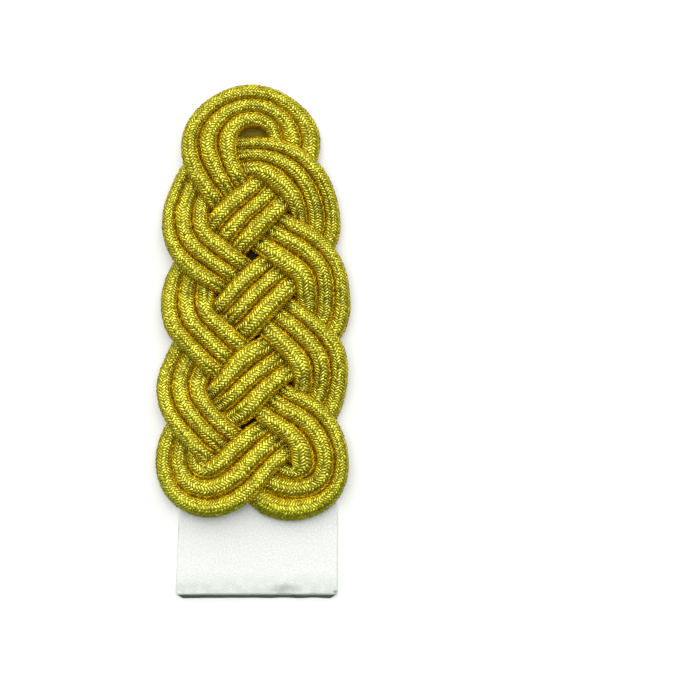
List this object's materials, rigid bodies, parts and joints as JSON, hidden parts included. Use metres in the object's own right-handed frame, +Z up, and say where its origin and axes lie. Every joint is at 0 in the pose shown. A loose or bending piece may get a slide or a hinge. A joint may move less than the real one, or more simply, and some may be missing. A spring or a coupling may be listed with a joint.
{
  "type": "shoulder board",
  "caption": "Plaited shoulder board: a band of round braided cords knotted flat, with a button eye at its top, on a felt backing with a tongue below.",
  "frame": {"origin": "middle of the board's length and width, on the underside of the felt backing", "axes": "+Y along the board towards the top loop and its eye, +X to the right seen from above, +Z up out of the plaited face"},
  "size_m": [0.0578, 0.1534, 0.0113],
  "materials": {
    "gold_cord": "braided metallic thread, satin",
    "felt": "matte wool felt"
  },
  "bodies": {
    "root": {"cord_outer": "gold_cord", "cord_middle": "gold_cord", "cord_inner": "gold_cord", "felt_backing": "felt"}
  },
  "joints": []
}
